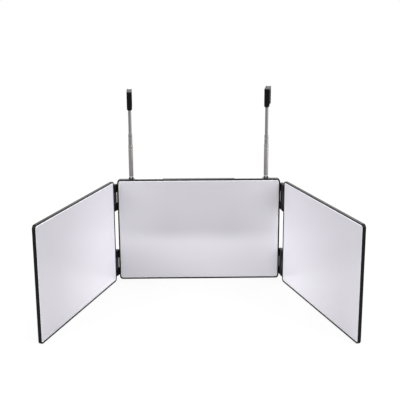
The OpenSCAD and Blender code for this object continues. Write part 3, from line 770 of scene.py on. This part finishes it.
def hinge_half_parts(h):
    """Hinge half about its knuckle: turned barrel, arm beside it, and a T-shaped leaf with rounded corners."""
    r, near, half = h.knuckle_r, h.knuckle_r + h.gap, h.middle / 2 - BARREL_PLAY
    barrel = lathe(np.concatenate([BARREL_END + (r, -half), (BARREL_END * (1, -1) + (r, half))[::-1]]))
    front, off = FRONT_Y + ARM_BACK, near - ARM_OFF
    arm = rounded([(ARM_START, front), (off, front), (off, BACK_Y), (ARM_START, BACK_Y)],
                  [CRISP_R, BEND_R, CRISP_R, CRISP_R], 4)
    wide, far, high = near + LEAF_OFF, near + h.leaf_reach, h.leaf_h / 2
    leaf = rounded([(ARM_START, -half), (wide, -half), (wide, -high), (far, -high),
                    (far, high), (wide, high), (wide, half), (ARM_START, half)],
                   [CRISP_R, CRISP_R, BEND_R, LEAF_R, LEAF_R, BEND_R, CRISP_R, CRISP_R], 6)
    return [barrel, prism(arm, -half, half, ARM_EDGE), prism(leaf, BACK_Y - h.leaf_t, BACK_Y, LEAF_EDGE, "xz", 2)]


def rivet_parts(h):
    """Rivets of a leaf: turned heads with a shallow dish, on plain shanks."""
    x = h.knuckle_r + h.gap + h.leaf_reach / 2
    return [lathe(RIVET + (0, BACK_Y), (x, 0, z), "y", 32) for z in (-h.rivet_pitch / 2, h.rivet_pitch / 2)]


def link_parts(far, h, z0):
    """Link: two knuckle thirds, each a quarter circle round the near pin, a half circle round the far one and the
    bend of a square heel, and a web between them."""
    r = h.knuckle_r
    third = (h.height - h.middle) / 2
    heel = rounded([(0.0, r), (-r, r), (-r, 0.0)], BEND_R, 5)[5:10]
    outline = np.concatenate([arc(-180, -90, 12) * r, arc(-90, 90, 24) * r + (far, 0), heel])
    lo, hi = r + WEB_PLAY, far - r - WEB_PLAY
    web = rounded([(lo, -r), (hi, -r), (hi, r), (lo, r)], WEB_R, 4)
    web_low, web_high = z0 + third - WEB_OVERLAP, z0 + h.height - third + WEB_OVERLAP
    return [*(prism(outline, z, z + third, LINK_EDGE, steps=4) for z in (z0, z0 + h.height - third)),
            prism(web, web_low, web_high, WEB_EDGE, steps=1)]


class TRIFOLD_OT_hinges(bpy.types.Operator):
    """Links, hinge halves, rivets and pins of the four hinges"""

    bl_idname = "trifold.hinges"
    bl_label = "Hinges"

    def execute(self, context):
        h = in_mm(context.scene.trifold_hinge)
        black = finish_material("link_black", h.link_color, 0.32, grain=(800.0, 0.03), marks=(60.0, 0.1),
                                specular=0.05)
        grey = finish_material("bracket_grey", h.centre_color, 0.34, metallic=0.8, grain=(1200.0, 0.06),
                               marks=(70.0, 0.1))
        # Near-black, non-metal copy of the centre halves' finish: painted shade on the wing halves
        painted_shade_bracket = finish_material("bracket_dark", h.wing_painted_shade_color, 0.36, grain=(1200.0, 0.05), marks=(70.0, 0.1),
                               specular=0.25)
        pin = finish_material("pin_steel", h.pin_color, 0.28, metallic=1.0, grain=(1500.0, 0.04))
        centre_rivets = []
        for side, sign in SIDES.items():
            link, wing = hinge_poses(side)
            far = math.dist(link[0], wing[0])
            facing = (-sign, (-link[0][0], link[0][1]))
            wing_rivets = []
            for level, z0 in zip(("lower", "upper"), hinge_bottoms()):
                name = f"{side}_{level}_link"
                add_piece(name + "_body", [turned(p, sign, *link) for p in link_parts(far, h, z0)], black,
                          side + "_link", name)
                up = (0, 0, z0 + h.height / 2)
                half = [moved(p, up) for p in hinge_half_parts(h)]
                rivets = [moved(p, up) for p in rivet_parts(h)]
                name = f"{side}_{level}_hinge"
                add_piece(name + "_leaf", [turned(p, sign, *wing) for p in half], painted_shade_bracket,
                          side + "_wing", name)
                wing_rivets += [turned(p, sign, *wing) for p in rivets]
                name = f"centre_{side}_{level}_hinge"
                add_piece(name + "_leaf", [turned(p, *facing) for p in half], grey,
                          "centre_panel", name)
                centre_rivets += [turned(p, *facing) for p in rivets]
            add_piece(side + "_rivet_heads", wing_rivets, pin, side + "_wing", side + "_rivets")
            dress(side + "_link_pins", pin, 0.15)
        add_piece("centre_rivet_heads", centre_rivets, pin, "centre_panel", "centre_rivets")
        return {"FINISHED"}


# Rods, in millimetres: how much thinner a section is at the seat of its sleeve, room round the next section in the
# bore and at the lip, chamfer above the seat (depth, height), half height of the crimped ring, and depth of the lip
SEAT_DEPTH, BORE_PLAY, LIP_PLAY = 0.25, 0.15, 0.05
CHAMFER, CRIMP_HALF, LIP_H = (0.12, 0.15), 0.8, 1.5
# Height of the thinner foot of the lower tube, and of the sleeve's seat on the other sections
FOOT_H, SEAT_H = 0.2, 5.0
# Groove: height above the hook's lowest point, half height and depth
GROOVE_RISE, GROOVE_HALF, GROOVE_DEPTH = 5.5, 1.1, 0.6
# Upper rod: chamfer of its foot (depth, height), depth of the chamfer above the seat, and chamfer of its top
ROD_FOOT, ROD_SEAT, ROD_TOP = (0.3, 0.1), 0.1, 0.4


def tube_profile(s, r, inner_r, foot, shoulder, top):
    """Closed profile of a tube: foot with its sleeve seat, shoulder, crimped ring whose depth follows a raised
    cosine, half-round rolled lip, and bore."""
    seat, bore, lip = r - SEAT_DEPTH, inner_r + BORE_PLAY, inner_r + LIP_PLAY
    mid, roll = (r + lip) / 2, (r - lip) / 2
    across = np.linspace(-1, 1, 9)
    dip = s.crimp_depth * (1 + np.cos(math.pi * across)) / 2
    crimp = np.stack([r - dip, top - s.crimp_drop + CRIMP_HALF * across], -1)
    bead = arc(0, 180, 7) * roll + (mid, top - roll)
    return np.concatenate([[(bore, foot), (seat, foot), (seat, shoulder), (r - CHAMFER[0], shoulder),
                            (r, shoulder + CHAMFER[1])],
                           crimp, bead, [(lip, top - LIP_H), (bore, top - LIP_H)]])


def rod_profile(r, foot, top, groove):
    """Profile of the upper rod: foot, seat of its sleeve, chamfer, groove for the hook's screw, chamfered top."""
    waist, seat, half, floor = r - SEAT_DEPTH, foot + SEAT_H, GROOVE_HALF, r - GROOVE_DEPTH
    return [(r - ROD_FOOT[0], foot), (waist, foot + ROD_FOOT[1]), (waist, seat), (r - ROD_SEAT, seat),
            (r, seat + CHAMFER[1]), (r, groove - half), (floor, groove - half), (floor, groove + half),
            (r, groove + half), (r, top - ROD_TOP), (r - ROD_TOP, top)]


class TRIFOLD_OT_rods(bpy.types.Operator):
    """Sockets, knuckles and telescopic sections of the two rods"""

    bl_idname = "trifold.rods"
    bl_label = "Rods"

    def execute(self, context):
        s = in_mm(context.scene.trifold_rod)
        # Same drawn steel twice; the sliding sections' darker colour is painted shade
        steel, inner = [finish_material(name, color, 0.24, metallic=1.0, grain=(900.0, 0.002), shade=0.06,
                                        marks=(45.0, 0.08), lines=(900.0, 0.02, 1.0))
                        for name, color in (("rod_steel", s.steel_color), ("inner_steel_painted_shade", s.inner_painted_shade_color))]
        bright = finish_material("knuckle_steel", s.knuckle_color, 0.24, metallic=1.0, grain=(1500.0, 0.03))
        black = finish_material("socket_black", s.socket_color, 0.34, grain=(700.0, 0.06))
        brass = finish_material("sleeve_brass", s.sleeve_color, 0.3, metallic=1.0, grain=(1500.0, 0.03))
        for side in SIDES:
            low, high = span(side + "_lower_tube")
            at = (*(low[:2] + high[:2]) / 2, 0)
            for part, body, metal, width, next_width, seat_h in (
                    ("lower", "_rod", steel, s.outer_d, s.middle_d, FOOT_H),
                    ("middle", "_middle", inner, s.middle_d, s.inner_d, SEAT_H)):
                low, high = span(f"{side}_{part}_tube")
                profile = tube_profile(s, width / 2, next_width / 2, low[2], low[2] + seat_h, high[2])
                add_piece(f"{side}_{part}_section", [lathe(profile, at, hollow=True)], metal, side + body,
                          f"{side}_{part}_tube")
            low, high = span(side + "_upper_rod")
            profile = rod_profile(s.inner_d / 2, low[2], high[2], span(side + "_hook")[0][2] + GROOVE_RISE)
            add_piece(side + "_upper_section", [lathe(profile, at)], inner, side + "_upper",
                      side + "_upper_rod")
            dress(side + "_rod_socket", black, 0.25)
            dress(side + "_rod_knuckle", bright, 0.2)
            dress(side + "_pivot_pin", bright, 0.15)
            for node in ("_middle_sleeve", "_upper_sleeve"):
                dress(side + node, brass)
        return {"FINISHED"}


# Hooks, in millimetres: rounding of the long edges, and corners of the channel as (distance past its side, depth),
# with the depth from its floor for those at the floor and from the hook's face for those at the mouth
HOOK_EDGE = 0.45
CHANNEL_FLOOR = np.array([(-0.25, 0.0), (-0.06, -0.08), (0.0, -0.25)])
CHANNEL_MOUTH = np.array([(0.02, 0.12), (0.14, 0.0)])
# Pads: margin at the sides, foot of the upright ones, gap at their tops and at the ends of the top one, radius of
# the corners and rounding of the edges
PAD_MARGIN, PAD_FOOT, PAD_TOP, PAD_END, PAD_R, PAD_EDGE = 0.6, 3.0, 1.8, 0.9, 0.8, 0.25


def arch(front, rear, top, r, rise, drop):
    """Side view of an arch: up the front, round a corner of radius r, along the top, round a corner and down."""
    across = np.linspace(0, 1, 16)[1:-1]
    return np.concatenate([
        np.stack([np.full(len(rise), front), rise], -1), arc(180, 90, 9) * r + (front + r, top - r),
        np.stack([front + r + across * (rear - front - 2 * r), np.full(len(across), top)], -1),
        arc(90, 0, 9) * r + (rear - r, top - r), np.stack([np.full(len(drop), rear), drop], -1)])


def hook_part(s):
    """Hook about its rod: a section carried from the foot of the front leg over the bridge to the end of the rear
    leg. Outer and inner side views share one parameter; a section point lies a depth in from one of them,
    and the width narrows at the leg ends as a circle does."""
    front, inner, outer = -s.front_leg / 2, s.front_leg / 2, s.front_leg / 2 + s.throat
    top, roof, r, fillet, end_r = s.height, s.height - s.bridge, s.corner_r, s.fillet, s.end_r
    ends = end_r * (1 - np.cos(np.linspace(0, math.pi / 2, 9)))
    rise = np.concatenate([ends, np.linspace(end_r, top - r, 8)[1:-1]])
    drop = np.concatenate([np.linspace(top - r, end_r - s.rear_drop, 8)[1:-1], ends[::-1] - s.rear_drop])
    scale = (roof - fillet - end_r) / (top - r - end_r)
    low, down = [np.where(leg > end_r, end_r + (leg - end_r) * scale, leg) for leg in (rise, drop)]
    outside = arch(front, outer + s.rear_leg, top, r, rise, drop)
    inside = arch(inner, outer, roof, fillet, low, down)
    way = inside - outside
    way /= np.linalg.norm(way, axis=1)[:, None]
    reach = np.concatenate([rise, np.full(len(outside) - len(rise) - len(drop), np.inf), drop + s.rear_drop])
    near = np.clip(end_r - reach, 0, end_r)
    half = s.width / 2 - end_r + np.sqrt(end_r ** 2 - near ** 2)
    # Section points: distance across, side view (0 the outer, 1 the inner), and depth in from it
    w, e, c, d = s.width / 2, HOOK_EDGE, s.channel_w / 2, s.channel_depth
    bend = arc(-90, 0, 4) * e + (w - e, e)
    channel = np.concatenate([[(0.0, d)], CHANNEL_FLOOR + (c, d), CHANNEL_MOUTH + (c, 0), bend])
    throat = np.concatenate([bend[::-1], [(0.0, 0.0)]])
    right = np.concatenate([np.insert(channel, 1, 0.0, axis=1), np.insert(throat, 1, 1.0, axis=1)])
    section = np.concatenate([right, right[-2:0:-1] * (-1, 1, 1)])
    x = section[None, :, 0] * half[:, None] / w
    is_inner = section[None, :, 1:2] > 0.5
    base = np.where(is_inner, inside[:, None], outside[:, None])
    side_view = base + np.where(is_inner, -1.0, 1.0) * section[None, :, 2:3] * way[:, None]
    return loft(np.stack([x, side_view[..., 0], side_view[..., 1]], -1))


def pad_parts(s):
    """Pads in the throat: rounded strips on both legs and under the bridge."""
    inner, outer, roof = s.front_leg / 2, s.front_leg / 2 + s.throat, s.height - s.bridge
    w, t = s.width / 2 - PAD_MARGIN, s.pad_t

    def strip(low, high):
        return rounded([(-w, low), (w, low), (w, high), (-w, high)], PAD_R, 5)

    return [*(prism(strip(PAD_FOOT, roof - PAD_TOP), y, y + t, PAD_EDGE, "xz") for y in (inner, outer - t)),
            prism(strip(inner + t + PAD_END, outer - t - PAD_END), roof - t, roof, PAD_EDGE)]


class TRIFOLD_OT_hooks(bpy.types.Operator):
    """Hooks with their pads and retaining screws"""

    bl_idname = "trifold.hooks"
    bl_label = "Hooks"

    def execute(self, context):
        s = in_mm(context.scene.trifold_hook)
        black = finish_material("hook_black", s.hook_color, 0.42, grain=(800.0, 0.05), marks=(60.0, 0.1),
                                specular=0.09)
        rubber = finish_material("pad_rubber", s.pad_color, 0.8, grain=(1500.0, 0.2), specular=0.1)
        steel = finish_material("hook_screw_steel", s.screw_color, 0.28, metallic=1.0, grain=(1500.0, 0.04))
        for side, sign in SIDES.items():
            axis = joint_xy(side + "_hook_swivel", sign)
            foot = JOINTS[side + "_hook_swivel"]["pos_m"][2] / MM
            seat = next(m for m in frame["record"]["mounts"] if m["name"] == side + "_hook_seat")["pos_m"]
            angle = math.atan2(sign * seat[0] / MM - axis[0], seat[1] / MM - axis[1])
            hook, *pads = [turned(moved(part, (0, 0, foot)), sign, axis, angle)
                           for part in (hook_part(s), *pad_parts(s))]
            body = side + "_hook_set"
            add_piece(side + "_hook_body", [hook], black, body, side + "_hook")
            add_piece(side + "_hook_pad_strips", pads, rubber, body, side + "_hook_pads")
            dress(side + "_hook_screw", steel, 0.08)
        return {"FINISHED"}


STEPS = (TRIFOLD_OT_stage, TRIFOLD_OT_trays, TRIFOLD_OT_panes, TRIFOLD_OT_covers, TRIFOLD_OT_hinges,
         TRIFOLD_OT_rods, TRIFOLD_OT_hooks)
SETTINGS = {"trifold_panel": PanelSettings, "trifold_hinge": HingeSettings, "trifold_rod": RodSettings,
            "trifold_hook": HookSettings, "trifold_stage": StageSettings}


class TRIFOLD_PT_panel(bpy.types.Panel):
    """Steps and settings of the tri-fold mirror"""

    bl_idname = "TRIFOLD_PT_panel"
    bl_label = "Tri-fold Mirror"
    bl_space_type = "VIEW_3D"
    bl_region_type = "UI"
    bl_category = "Tri-fold Mirror"

    def draw(self, context):
        for step in STEPS:
            self.layout.operator(step.bl_idname)
        for name, kind in SETTINGS.items():
            box = self.layout.box()
            box.label(text=name.replace("trifold_", "").capitalize())
            for label in kind.__annotations__:
                box.prop(getattr(context.scene, name), label)


def register():
    for kind in (*SETTINGS.values(), *STEPS, TRIFOLD_PT_panel):
        bpy.utils.register_class(kind)
    for name, kind in SETTINGS.items():
        setattr(bpy.types.Scene, name, PointerProperty(type=kind))


def unregister():
    for name in SETTINGS:
        delattr(bpy.types.Scene, name)
    for kind in (TRIFOLD_PT_panel, *STEPS[::-1], *SETTINGS.values()):
        bpy.utils.unregister_class(kind)


def main():
    register()
    bpy.context.scene.view_settings.view_transform = "Standard"
    for step in STEPS:
        area, name = step.bl_idname.split(".")
        getattr(getattr(bpy.ops, area), name)()


if __name__ == "__main__":
    main()
